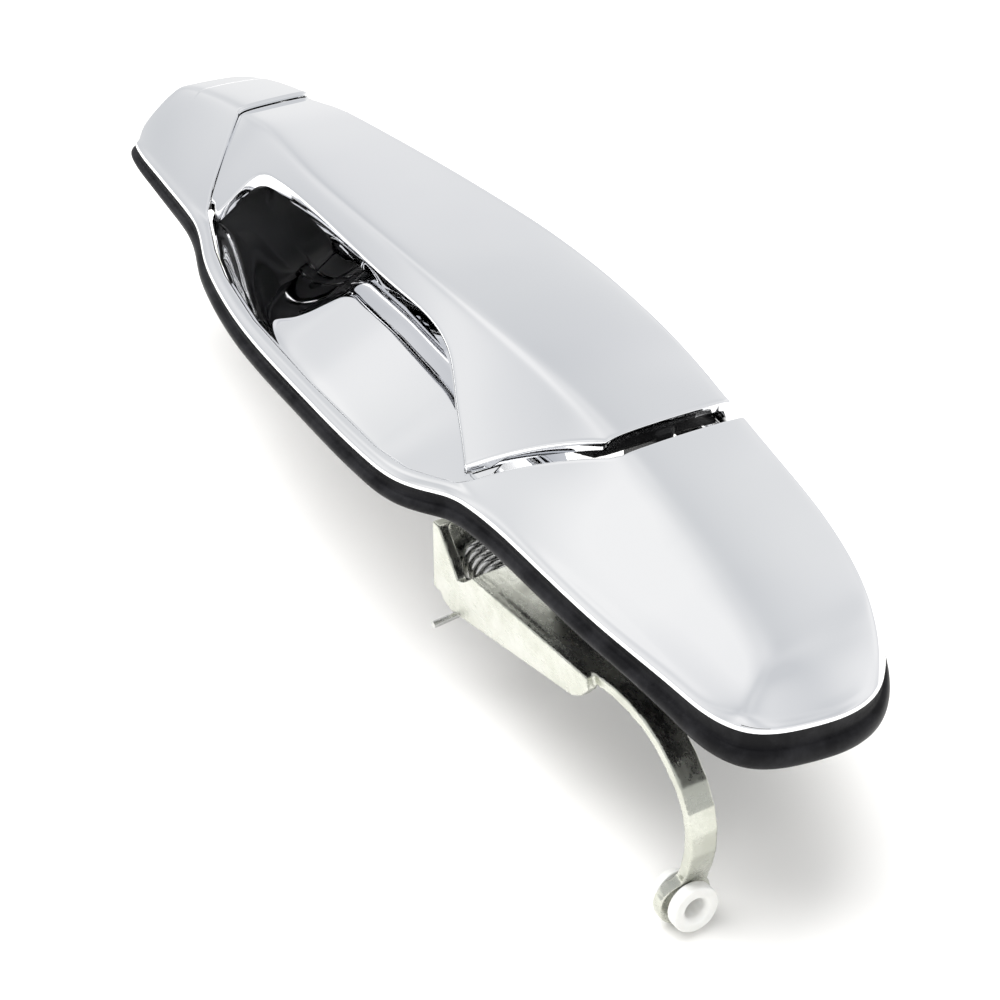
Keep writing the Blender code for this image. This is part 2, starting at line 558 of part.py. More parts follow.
def make_carrier():
    hx, hz = HINGE
    py, pz = PIVOT
    lug = [(-104.4, CARRIER_BACK_Z), (-98.0, CARRIER_BACK_Z), (hx + 3.4, hz - 4.6),
           *disc_points((hx, hz), KNUCKLE_R, -36, 110, 9), (-104.4, hz + 1.0)]
    boss = [*disc_points((py, pz), 3.7, 100, 290, 10), (py + 5.0, pz - 3.5), (py + 9.0, CARRIER_BACK_Z + 1),
            (py + 2.6, CARRIER_BACK_Z + 1), (py + 2.6, pz + 4.4)]
    shapes = [
        block_under_skin((-128.0, -103.6), 6.6, CARRIER_BACK_Z),
        add_top_beam,
        plate(lug, 1, HINGE_Y[0] + 0.3, KNUCKLE_Y[0] - 0.5),
        plate(lug, 1, KNUCKLE_Y[1] + 0.5, HINGE_Y[1] - 0.3),
        block_under_skin((66.8, 126.0), 6.6, CARRIER_BACK_Z, steps=(12, 8)),
        lambda bm: box(bm, (60.8, -12.0, CARRIER_BACK_Z), (70.0, 24.5, 8.5)),
        plate(boss, 0, 61.9, 71.0),
        lambda bm: box(bm, (61.9, py + 2.0, CARRIER_BACK_Z - 3), (71.0, py + 9.0, CARRIER_BACK_Z + 1)),
    ]
    for x, y, _ in STUDS.values():
        pad = (x, y, CARRIER_BACK_Z - 3.0), (x, y, 2.0)
        shapes.append(lambda bm, pad=pad: rod(bm, *pad, 7.0, segments=24))
    cuts = [
        lambda bm: rod(bm, (hx, 0, hz), (hx, 30, hz), PIN_R + 0.15),
        lambda bm: rod(bm, (60, py, pz), (73, py, pz), PIVOT_R + 0.15),
    ]
    for x, y, _ in STUDS.values():
        cuts.append(lambda bm, x=x, y=y: rod(bm, (x, y, -30.0), (x, y, 5.2), 3.2, segments=18))
    for x, y in SCREWS.values():
        cuts.append(lambda bm, x=x, y=y: rod(bm, (x, y, -10.0), (x, y, 7.6), 1.75, segments=14))
        cuts.append(lambda bm, x=x, y=y: rod(bm, (x, y, -10.0), (x, y, -0.7), 3.6, segments=18))
    pockets = (((-126, -7, -9), (-122.5, 12.5, 8)), ((72, -12, -9), (84, 8, 5.5)),
               ((104, -11, -9), (120, -0.5, 5)), ((86, 15.5, -9), (106, 21, 5)),
               ((86, -11.5, -9), (101, -4, 5)))
    for low, high in pockets:
        cuts.append(lambda bm, low=low, high=high: box(bm, low, high))
    return solid("carrier", "black_plastic", shapes, cuts)


def make_fasteners():
    for name, (x, y, tip) in STUDS.items():
        collar = CARRIER_BACK_Z - 5.0, CARRIER_BACK_Z - 3.3
        solid(name, "zinc",
              [lambda bm: rod(bm, (x, y, tip + 1.0), (x, y, 5.0), 2.95, segments=18),
               lambda bm: rod(bm, (x, y, tip), (x, y, tip + 1.1), 2.2, 2.94, segments=18),
               lambda bm: rod(bm, (x, y, collar[0]), (x, y, collar[1]), 6.0, segments=6)],
              origin=(x, y, CARRIER_BACK_Z))
    for number, (x, y) in SCREWS.items():
        solid(f"bezel_screw_{number}", "zinc",
              [lambda bm: rod(bm, (x, y, -1.1), (x, y, 6.8), 1.5, segments=14),
               lambda bm: rod(bm, (x, y, -3.2), (x, y, -1.0), 3.0, segments=18)],
              [lambda bm: rod(bm, (x, y, -4.0), (x, y, -2.2), 1.3, segments=6)],
              origin=(x, y, -3.2))


def add_arm(bm):
    """The crank's web and arm: one strip along the handle, then bending away from it to the clip's eyelet."""
    line = np.array(ARM_LINE)
    run = np.concatenate([[0], np.cumsum(np.linalg.norm(np.diff(line, axis=0), axis=1))])
    eyelet = run[-1] - EYELET_R
    near = eyelet + EYELET_R * np.sin(np.radians([-75, -55, -38, -20, 0, 20, 38, 55, 72, 84]))
    at = np.concatenate([[0, 20, 40], np.linspace(45, near[0] - 3, 11), near])
    x, z = (spline(*zip(run, line[:, i]))(at) for i in (0, 1))
    way = np.stack([np.gradient(x, at), np.gradient(z, at)], 1)
    way /= np.linalg.norm(way, axis=1, keepdims=True)
    taper = np.clip((at - 45.0) / 30.0, 0, 1)
    low, high = (a + (b - a) * taper for a, b in zip(ARM_Y, ARM_TIP_Y))
    half = np.sqrt(np.maximum(EYELET_R**2 - (at - eyelet) ** 2, 0))
    round_low, round_high = CLIP_AT[1] - half, CLIP_AT[1] + half
    low = np.where(at > eyelet, round_low, np.minimum(low, round_low))
    high = np.where(at > eyelet, round_high, np.maximum(high, round_high))
    sheets = []
    for side in (0.5, -0.5):
        px, pz = x - way[:, 1] * side * LEVER_T, z + way[:, 0] * side * LEVER_T
        sheets.append(np.stack([np.stack([px, edge, pz], 1) for edge in (low, high)], 1))
    add_bmesh(bm, between_sheets(*sheets))


def make_lever():
    py, pz = PIVOT
    (web_x, web_z), (lip_x, lip_z) = WEB
    ear_in = EAR_X + LEVER_T
    side = [(EAR_X, -8.5), (ear_in, -6.6), (43.4, -15.4), (45.8, -14.4), (web_x, web_z - 0.2),
            (lip_x, lip_z - 0.2), (lip_x + 1.0, -9.5), (90.6, -12.4), (87.6, -14.4), (41.0, -25.0),
            (37.4, -24.4), (34.8, -20.5), (EAR_X, -16.5)]
    ear = [(PLATE_Y, -6.6), (-17.5, -6.6), (-12.5, -10.0), *disc_points((py, pz), 5.2, 30, -90, 7),
           (-18.2, -23.0), (-21.0, -24.6), (PLATE_Y, -23.0)]
    bridge_z = web_z - 1.0
    bridge = [(ARM_Y[0], bridge_z), (py, bridge_z), (py + 5.6, pz + 3.0), (TAB[0] + 1.0, TAB[1] + 3.4),
              (TAB[0] + 2.0, TAB[1]), (TAB[0] - 3.0, TAB[1] - LEVER_T / 2), (py + 1.0, pz - 6.0),
              (py - 5.0, pz - 4.0)]
    tongue_low = (47.5, TAB[0] - 2.6, TAB[1] - LEVER_T / 2)
    tongue_high = (BRIDGE_X + LEVER_T, TAB[0] + 1.0, TAB[1] + LEVER_T / 2)
    return solid(
        "lever", "zinc",
        [add_arm,
         plate(side, 1, PLATE_Y, PLATE_Y + LEVER_T),
         plate(ear, 0, EAR_X, ear_in),
         plate(bridge, 0, BRIDGE_X, BRIDGE_X + LEVER_T),
         lambda bm: box(bm, tongue_low, tongue_high)],
        [lambda bm: rod(bm, (30, py, pz), (64, py, pz), PIVOT_R + 0.25),
         lambda bm: rod(bm, clip_point(-6), clip_point(8), 3.2)],
        origin=(50, py, pz),
    )


def clip_point(along):
    """A point on the rod clip's axis, along it from the middle of the arm's hole."""
    way = Vector((math.cos(CLIP_TILT), 0, math.sin(CLIP_TILT)))
    return Vector(CLIP_AT) + way * along


def make_rod_clip():
    return solid(
        "rod_clip", "nylon",
        [lambda bm: rod(bm, clip_point(-3.6), clip_point(4.8), 2.9, segments=24),
         lambda bm: rod(bm, clip_point(2.5), clip_point(5.2), 5.0, segments=28),
         lambda bm: rod(bm, clip_point(-4.6), clip_point(-1.8), 3.2, 4.6, segments=24)],
        [lambda bm: rod(bm, clip_point(-8), clip_point(9), 2.2, segments=20)],
        origin=CLIP_AT,
    )


def make_lever_pivot():
    py, pz = PIVOT
    left, right = PIVOT_X
    solid("lever_pin", "steel",
          [lambda bm: rod(bm, (left, py, pz), (right, py, pz), PIVOT_R),
           lambda bm: rod(bm, (right - 0.1, py, pz), (right + 1.8, py, pz), 3.8)],
          origin=(50, py, pz))
    solid("lever_pin_clip", "steel",
          [lambda bm: rod(bm, (left + 0.8, py, pz), (left + 1.8, py, pz), 4.4, segments=24)],
          [lambda bm: rod(bm, (left, py, pz), (left + 3, py, pz), PIVOT_R + 0.15, segments=20),
           lambda bm: box(bm, (left, py - 1.6, pz - 6), (left + 3, py + 1.6, pz))],
          origin=(left + 1.3, py, pz))


def make_spring():
    """The return spring, wound round the crank's pin, with one end on the crank and one under the carrier."""
    py, pz = PIVOT
    points = [(39.7, -27.2, -27.9), (39.5, -21.4, -27.6), (38.6, -19.5, -23.5)]
    for i in range(int(SPRING_TURNS * SPRING_STEPS) + 1):
        angle = math.pi - 2 * math.pi * i / SPRING_STEPS
        points.append((SPRING_X + SPRING_PITCH * i / SPRING_STEPS,
                       py + SPRING_R * math.cos(angle), pz + SPRING_R * math.sin(angle)))
    end_x = points[-1][0]
    points += [(end_x + 0.5, py + 3.4, pz + 5.4), (end_x + 1.5, py + 6.0, pz + 9.0),
               (end_x + 4.0, py + 6.5, pz + 10.6)]
    data = bpy.data.curves.new("lever_spring", "CURVE")
    data.dimensions, data.bevel_depth = "3D", SPRING_WIRE / 2 * MM
    data.bevel_resolution, data.use_fill_caps = 1, True
    line = data.splines.new("POLY")
    line.points.add(len(points) - 1)
    for target, point in zip(line.points, points):
        target.co = (*(Vector(point) - Vector((50, py, pz))) * MM, 1)
    obj = place(bpy.data.objects.new("lever_spring", data))
    obj.location = Vector((50, py, pz)) * MM
    data.materials.append(material("steel", *FINISHES["steel"]))
    return obj


def make_bumper():
    """A rubber pad on the carrier that quiets the closing bar."""
    solid("bar_bumper", "rubber",
          [lambda bm: rod(bm, (63.6, 12.0, 8.8), (63.6, 12.0, 10.6), 2.4, 1.9, segments=20)])


def main():
    for obj in list(bpy.data.objects):
        bpy.data.objects.remove(obj)
    parts, cutters = (bpy.data.collections.new(name) for name in (OBJECT_NAME, "cutters"))
    bpy.context.scene.collection.children.link(parts)
    bpy.context.scene.collection.children.link(cutters)
    make_bezel()
    make_cup()
    make_handle_cover()
    make_handle_core()
    make_hinge()
    make_gasket()
    make_carrier()
    make_fasteners()
    make_lever()
    make_lever_pivot()
    make_spring()
    make_rod_clip()
    make_bumper()


main()
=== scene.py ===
"""Looks for the exterior car door handle: smooth chrome, rubber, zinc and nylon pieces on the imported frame,
a pale floor and a soft studio. The pieces repeat the part's own formulas at a finer pitch. Lengths in the
formulas are in millimetres and become metres as each mesh is made."""

import math

import bmesh
import bpy
import numpy as np
from mathutils import Matrix, Vector, kdtree


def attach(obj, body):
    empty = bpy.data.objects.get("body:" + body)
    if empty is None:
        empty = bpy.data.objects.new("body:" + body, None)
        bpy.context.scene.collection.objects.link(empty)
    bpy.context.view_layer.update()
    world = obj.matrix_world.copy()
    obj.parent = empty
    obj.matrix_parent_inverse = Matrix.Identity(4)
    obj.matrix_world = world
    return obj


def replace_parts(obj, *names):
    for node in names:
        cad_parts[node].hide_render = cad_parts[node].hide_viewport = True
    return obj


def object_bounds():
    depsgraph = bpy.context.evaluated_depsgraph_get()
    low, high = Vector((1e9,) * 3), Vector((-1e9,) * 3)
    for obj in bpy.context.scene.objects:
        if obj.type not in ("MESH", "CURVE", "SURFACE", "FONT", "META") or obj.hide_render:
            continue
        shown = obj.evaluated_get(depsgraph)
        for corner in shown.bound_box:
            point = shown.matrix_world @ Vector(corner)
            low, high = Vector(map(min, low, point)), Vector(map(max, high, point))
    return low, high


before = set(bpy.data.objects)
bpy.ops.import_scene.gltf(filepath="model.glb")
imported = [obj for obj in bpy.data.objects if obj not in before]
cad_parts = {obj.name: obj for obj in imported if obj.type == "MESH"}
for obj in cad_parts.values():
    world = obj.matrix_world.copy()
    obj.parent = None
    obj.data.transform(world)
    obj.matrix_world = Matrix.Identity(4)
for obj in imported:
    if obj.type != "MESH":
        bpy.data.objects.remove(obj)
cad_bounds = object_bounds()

MM = 0.001
CLEARANCE = 0.3
SEAM_X = -101.8            # the left cap's edge, across the ridge
UNDER_CAP, TUCK = 0.8, 0.2   # how far the bar's end runs under that edge, and how far below it
BAR_END_X, BAR_DIP = 60.2, 1.2
BAR_LOW_X = (-87.3, 39.9)  # both ends of the bar's lower edge
CORE_BACK_Z = 13.0         # the finger side of the bar
COVER_WALL, BEZEL_WALL, CUP_WALL, CUP_LIP = 2.0, 2.2, 1.6, 0.5
CUP_FLOOR_Z, CUP_BACK_Z, CUP_TILT = -14.5, 6.2, 0.5
CUP_LEFT_X, CUP_LEFT_RISE = -91.0, 21.5
RIM_RISE, EDGE_RISE, SEAT_DROP = 1.3, 0.8, 2.8
EDGE_RADIUS, COVER_EDGE_RADIUS = 0.32, 0.5
ROLL = 5                   # rows round each rounded edge
PIVOT = (-15.0, -16.2)     # y and z of the crank's pin
CLIP_AT, CLIP_TILT = (121.0, -19.5, -40.8), math.radians(4)
SPRING_X, SPRING_TURNS, SPRING_PITCH, SPRING_R, SPRING_WIRE = 37.7, 5.25, 2.1, 4.0, 1.6

# Pairs of plan points, clockwise from the cup's lower right corner: the bezel's outer edge, the inner edge
# that faces it, and 0 where the surface is only the bare upper rim, or 1.
BEZEL_PAIRS = (
    ((22.0, -32.6), (21.6, -29.6), 1), ((-7.0, -32.9), (-7.0, -29.9), 1),
    ((-37.0, -31.9), (-36.6, -28.9), 1), ((-58.0, -28.8), (-57.2, -25.9), 1),
    ((-70.0, -25.8), (-69.0, -22.9), 1), ((-79.0, -22.6), (-77.8, -19.8), 1),
    ((-88.0, -20.2), (-85.5, -17.2), 1), ((-101.0, -18.7), (-89.6, -13.9), 1),
    ((-118.0, -17.2), (-93.6, -9.4), 1), ((-130.5, -15.7), (-97.2, -5.4), 1),
    ((-136.0, -13.4), (-99.6, -2.8), 1), ((-137.9, -8.5), (-101.0, -1.2), 1),
    ((-138.0, -4.0), (SEAM_X, -0.4), 1), ((-136.8, 2.5), (SEAM_X, 4.0), 1),
    ((-132.6, 11.3), (SEAM_X, 10.0), 1), ((-125.0, 17.2), (SEAM_X, 14.5), 1),
    ((-115.0, 20.8), (SEAM_X, 17.6), 1), ((-104.8, 22.8), (-102.8, 19.9), 1),
    ((-102.6, 23.2), (-102.0, 20.2), 0), ((-74.0, 27.4), (-73.6, 24.4), 0),
    ((-50.0, 30.6), (-49.6, 27.6), 0), ((-27.0, 33.1), (-26.8, 30.1), 0),
    ((-5.0, 34.8), (-4.9, 31.8), 0), ((18.0, 35.4), (18.0, 32.4), 0),
    ((41.0, 35.0), (40.9, 32.0), 0), ((62.6, 33.8), (62.9, 30.8), 0),
    ((65.8, 33.6), (64.9, 30.4), 1), ((84.0, 32.0), (64.9, 27.0), 1),
    ((103.0, 28.6), (64.9, 22.0), 1), ((119.0, 23.2), (64.9, 16.0), 1),
    ((129.0, 17.3), (64.9, 11.0), 1), ((135.0, 10.5), (64.9, 7.0), 1),
    ((136.9, 4.0), (64.8, 4.2), 1), ((136.4, -4.0), (64.6, 1.6), 1),
    ((131.8, -15.2), (63.4, -0.6), 1), ((125.5, -18.4), (60.8, -3.2), 1),
    ((116.0, -19.6), (58.0, -6.0), 1), ((95.0, -21.4), (53.5, -10.5), 1),
    ((68.0, -22.2), (48.5, -15.5), 1), ((49.0, -23.2), (44.2, -19.8), 1),
    ((42.5, -24.9), (40.6, -22.6), 1), ((38.5, -27.6), (36.5, -25.2), 1),
    ((33.0, -30.7), (31.6, -28.0), 1),
)


def spline(*knots):
    """A natural cubic curve through (position, value) knots, level beyond its ends."""
    at, value = np.array(knots, float).T
    gap = np.diff(at)
    matrix, bend = np.eye(len(at)), np.zeros(len(at))
    for i in range(1, len(at) - 1):
        matrix[i, i - 1 : i + 2] = gap[i - 1], 2 * (gap[i - 1] + gap[i]), gap[i]
        bend[i] = 6 * ((value[i + 1] - value[i]) / gap[i] - (value[i] - value[i - 1]) / gap[i - 1])
    bend = np.linalg.solve(matrix, bend)

    def read(x):
        x = np.clip(x, at[0], at[-1])
        i = np.clip(np.searchsorted(at, x) - 1, 0, len(gap) - 1)
        low, high = (at[i + 1] - x) / gap[i], (x - at[i]) / gap[i]
        curved = (low**3 - low) * bend[i] + (high**3 - high) * bend[i + 1]
        return low * value[i] + high * value[i + 1] + curved * gap[i] ** 2 / 6

    return read


ridge_y = spline((-138, -5.2), (-130, -4.2), (-101, -0.5), (-61, -3.3), (-35, -4.1), (-1, -3.9),
                 (25, -2.4), (46, -0.4), (60, 0.8), (77, 0.6), (91, -0.8), (104, -3.1), (114, -5.1),
                 (124, -7.0), (137, -9.0))
ridge_z = spline((-138, 16.4), (-130, 18.6), (-115, 21.4), (-101, 23.0), (-85, 24.2), (-61, 25.3),
                 (-35, 26.2), (-1, 26.9), (25, 25.8), (46, 23.3), (60, 20.4), (77, 17.2), (91, 15.9),
                 (104, 15.0), (114, 14.3), (124, 13.4), (137, 12.0))
foot_y = spline((-138, -15.0), (-94, -19.0), (-20, -21.5), (45, -23.4), (95, -21.6), (137, -18.6))
foot_z = spline((-138, 4.0), (-94, 5.4), (0, 5.9), (68, 6.2), (137, 6.0))
under_z = spline((-138, 3.2), (-94, 4.4), (0, 5.0), (68, 5.3), (137, 5.1))
wall_slope = spline((-138, 2.8), (-120, 3.4), (-100, 3.8), (-50, 4.3), (0, 4.6), (40, 4.4), (65, 3.9),
                    (85, 3.5), (105, 3.3), (137, 3.2))
bar_low_y = spline((-87.3, -15.4), (-84.0, -15.9), (-81.2, -15.8), (-80.0, -13.4), (-78.8, -10.4),
                   (-76.0, -7.6), (-70.0, -6.8), (-57.0, -6.9), (-31.0, -7.6), (-7.5, -7.9),
                   (8.0, -8.0), (17.0, -9.7), (25.7, -13.4), (34.3, -17.0), (39.9, -19.5))
cup_back_y = spline((-92, 15.0), (-82, 13.0), (-69, 9.6), (-58, 6.6), (-46, 5.0), (-35, 4.6), (-26, 5.2),
                    (-17, 7.0), (-6, 8.6), (20, 8.0), (44, 2.0), (56, -4.0))


def pair_positions():
    """How far round the bezel's outer edge each pair lies, and the whole length."""
    outer = np.array([pair[0] for pair in BEZEL_PAIRS])
    step = np.linalg.norm(np.roll(outer, -1, axis=0) - outer, axis=1)
    return np.concatenate([[0], np.cumsum(step)])


def outer_edge(count):
    """The bezel's outer edge as count evenly spread points of a smooth closed curve."""
    at, wrap = pair_positions(), 4
    points = np.array([pair[0] for pair in BEZEL_PAIRS])
    around = np.concatenate([at[-1 - wrap : -1] - at[-1], at[:-1], at[:wrap] + at[-1]])
    doubled = np.vstack([points[-wrap:], points, points[:wrap]])
    place = np.linspace(0, at[-1], count, endpoint=False)
    return np.stack([spline(*zip(around, doubled[:, i]))(place) for i in (0, 1)], axis=1)


def inner_edge(count):
    """The points that face outer_edge's, and for each 1 on the end caps and 0 on the bare rim."""
    at = pair_positions()
    rows = np.array([(*pair[1], pair[2]) for pair in BEZEL_PAIRS])
    closed = np.vstack([rows, rows[:1]])
    place = np.linspace(0, at[-1], count, endpoint=False)
    x, y, cap = (np.interp(place, at, closed[:, i]) for i in range(3))
    return np.stack([x, y], axis=1), cap


OUTLINE = outer_edge(5200)
OUTLINE_TREE = kdtree.KDTree(len(OUTLINE))
for number, point in enumerate(OUTLINE):
    OUTLINE_TREE.insert((point[0], point[1], 0), number)
OUTLINE_TREE.balance()


def nearest_on(tree, line, x, y, closed):
    """Distance from each plan point to a finely stepped line."""
    px, py = np.ravel(x), np.ravel(y)
    found = np.array([tree.find((a, b, 0))[1] for a, b in zip(px, py)])
    best = np.full(len(px), 1e9)
    count = len(line)
    for shift in (-1, 0):
        start = found + shift
        start = start % count if closed else np.clip(start, 0, count - 2)
        a, b = line[start], line[(start + 1) % count]
        step, away = b - a, np.stack([px, py], 1) - a
        along = np.clip((away * step).sum(1) / (step**2).sum(1), 0, 1)
        away = away - along[:, None] * step
        best = np.minimum(best, np.sqrt((away**2).sum(1)))
    return best.reshape(np.shape(x))


def edge_distance(x, y, line=None, closed=True):
    if line is None:
        return nearest_on(OUTLINE_TREE, OUTLINE, x, y, True)
    tree = kdtree.KDTree(len(line))
    for number, point in enumerate(line):
        tree.insert((point[0], point[1], 0), number)
    tree.balance()
    return nearest_on(tree, line, x, y, closed)


def lower_of(a, b, blend):
    return 0.5 * (a + b - np.sqrt((a - b) ** 2 + blend**2))


def higher_of(a, b, blend):
    return 0.5 * (a + b + np.sqrt((a - b) ** 2 + blend**2))


def cup_z(x, y, depth):
    """The bowl: a steep wall behind its front edge, then a floor that climbs to the back and to both ends.
    At its right end it leaves room for the crank."""
    lip = np.interp(x, (-96, -84, 0, 42, 55), (9.0, 5.6, 6.2, 6.6, 11.5))
    left = np.clip((-40.0 - x) / 51.0, 0, 1)
    level = left * left * (3 - 2 * left)
    right = np.clip(x / 40.0, 0, 1)
    slope = CUP_TILT * (1 - 0.35 * right * right * (3 - 2 * right))
    ramp = CUP_BACK_Z - slope * (cup_back_y(np.maximum(x, -35.0)) - y)
    floor = ramp * (1 - level) + (CUP_FLOOR_Z + CUP_LEFT_RISE * left**1.7) * level
    return lip - 0.3 - (lip - floor) * (1 - np.exp(-((depth / 3.4) ** 1.6)))


def skin_z(x, y, inset=0.0):
    """Height of the handle's styled outer surface, or of the surface inset inside it."""
    x, y = np.asarray(x, float), np.asarray(y, float)
    rise = (ridge_z(x) - foot_z(x)) / (ridge_y(x) - foot_y(x))
    along = (y - foot_y(x)) / (ridge_y(x) - foot_y(x))
    lower = ridge_z(x) + rise * (y - ridge_y(x)) + 1.6 * along * (1 - along) - inset * np.sqrt(1 + rise**2)
    across = (y - ridge_y(x)) / 31.0
    upper = ridge_z(x) + 0.55 - 0.9 * across + 1.6 * across * (1 - across) - inset
    edge = edge_distance(x, y) - inset
    wall = under_z(x) + EDGE_RISE + wall_slope(x) * edge
    right = np.maximum(136.9 - 0.012 * (y - 1.5) ** 2 - x, 0) - inset
    left = np.maximum(x + 138.0 - 0.010 * (y + 3.0) ** 2, 0) - inset
    right_end = under_z(x) + EDGE_RISE + 0.72 * right - 0.010 * right**2
    right_end = right_end + 0.04 * np.maximum(right - 20.0, 0) ** 2
    left_end = under_z(x) + EDGE_RISE + 2.3 * left - 0.06 * left**2
    left_end = np.where(left > 18, 26.0 + left, left_end)
    near_right = np.clip((x - 90.0) / 30.0, 0, 1)
    z = lower_of(lower, upper, 1.1 + 0.9 * near_right)
    z = lower_of(z, wall, 1.6)
    z = z + np.clip((x - 95.0) / 6.0, 0, 1) * (lower_of(z, right_end, 1.5) - z)
    return z + np.clip((-105.0 - x) / 4.0, 0, 1) * (lower_of(z, left_end, 2.0) - z)


def bezel_z(x, y, cap):
    rim = under_z(x) + EDGE_RISE + RIM_RISE * np.tanh(edge_distance(x, y) / 1.3)
    styled = rim + cap * (skin_z(x, y) - rim)
    return higher_of(styled, rim, 0.5)


def bezel_under_z(x, y, cap, top):
    inner = np.maximum(under_z(x), cap * skin_z(x, y, BEZEL_WALL))
    return np.minimum(inner, top - 0.5)


def seat_z(x):
    """The gasket's back: flat, but turning down with the door at the right end."""
    t = np.clip((np.asarray(x, float) - 98.0) / 40.0, 0, 1)
    return -SEAT_DROP * t * t * (3 - 2 * t)


def top_side():
    upper = OUTLINE[OUTLINE[:, 1] > 0]
    order = np.argsort(upper[:, 0])
    return upper[order, 0], upper[order, 1]


OUTLINE_TOP = top_side()


def bar_skin_z(x, y, inset=0.0):
    """The bar's surface. It dips under the left cap's edge."""
    tucked = TUCK * np.clip((SEAM_X + 1.2 - x) / 1.8, 0, 1) ** 2
    return skin_z(x, y, inset) - BAR_DIP * np.exp(-(((x - SEAM_X) / 10.0) ** 2)) - tucked


# ---- mesh helpers ----

def mesh_piece(name, points, faces, body, material, sharp=40):
    """A piece from points in millimetres, riding on a body."""
    mesh = bpy.data.meshes.new(name)
    mesh.from_pydata((np.asarray(points, float) * MM).tolist(), [], [tuple(map(int, f)) for f in faces])
    mesh.validate()
    bm = bmesh.new()
    bm.from_mesh(mesh)
    bmesh.ops.recalc_face_normals(bm, faces=bm.faces)
    if bm.calc_volume(signed=True) < 0:
        bmesh.ops.reverse_faces(bm, faces=bm.faces)
    bm.to_mesh(mesh)
    bm.free()
    obj = bpy.data.objects.new(name, mesh)
    bpy.context.scene.collection.objects.link(obj)
    return dress(obj, body, material, sharp)


def dress(obj, body, material, sharp=40):
    obj.data.materials.clear()
    obj.data.materials.append(material)
    if obj.type == "MESH":
        obj.data.shade_smooth()
        obj.data.set_sharp_from_angle(angle=math.radians(sharp))
    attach(obj, body)
    return obj


def sheet_faces(shape, start, ring, flip=False):
    rows, columns = shape
    faces = []
    for i in range(rows if ring else rows - 1):
        after = (i + 1) % rows
        for j in range(columns - 1):
            quad = (start + i * columns + j, start + after * columns + j,
                    start + after * columns + j + 1, start + i * columns + j + 1)
            faces.append(quad[::-1] if flip else quad)
    return faces


def between(top, bottom, ring=False):
    """Points and faces of a closed body from two sheets, which may differ in columns if they are rings."""
    rows, cols = top.shape[:2]
    low_cols = bottom.shape[1]
    second = rows * cols
    points = np.vstack([top.reshape(-1, 3), bottom.reshape(-1, 3)])
    faces = sheet_faces((rows, cols), 0, ring) + sheet_faces((rows, low_cols), second, ring, True)

    def at(i, j):
        return (i % rows) * cols + j

    def under(i, j):
        return second + (i % rows) * low_cols + j

    if ring:
        last, low_last = cols - 1, low_cols - 1
        for i in range(rows):
            faces.append((at(i, 0), at(i + 1, 0), under(i + 1, 0), under(i, 0)))
            faces.append((at(i, last), under(i, low_last), under(i + 1, low_last), at(i + 1, last)))
    else:
        border = [(i, 0) for i in range(rows)] + [(rows - 1, j) for j in range(1, cols)]
        border += [(i, cols - 1) for i in range(rows - 2, -1, -1)] + [(0, j) for j in range(cols - 2, -1, -1)]
        for (a, b), (c, d) in zip(border, border[1:]):
            faces.append((at(a, b), at(c, d), under(c, d), under(a, b)))
    return points, faces


def lathe(name, profile, start, way, body, material, segments=64, sharp=30):
    """A turned piece: profile holds (distance along, radius) points from one end to the other and back
    through the bore if there is one."""
    way = Vector(way).normalized()
    turn = way.to_track_quat("Z", "Y").to_matrix()
    points, faces = [], []
    for i in range(segments):
        angle = 2 * math.pi * i / segments
        for along, radius in profile:
            local = turn @ Vector((radius * math.cos(angle), radius * math.sin(angle), along))
            points.append(Vector(start) + local)
    count = len(profile)
    for i in range(segments):
        after = (i + 1) % segments
        for j in range(count):
            k = (j + 1) % count
            faces.append((i * count + j, after * count + j, after * count + k, i * count + k))
    return mesh_piece(name, points, faces, body, material, sharp)


def rounded_profile(corners, radius, steps=4):
    """A closed profile with its corners rounded."""
    corners = [Vector(c) for c in corners]
    made = []
    for before, corner, after in zip(corners[-1:] + corners[:-1], corners, corners[1:] + corners[:1]):
        a, b = (before - corner), (after - corner)
        size = min(radius, a.length * 0.45, b.length * 0.45)
        a, b = corner + a.normalized() * size, corner + b.normalized() * size
        for i in range(steps + 1):
            t = i / steps
            made.append(tuple(a * (1 - t) ** 2 + corner * 2 * t * (1 - t) + b * t * t))
    return made


# ---- materials ----

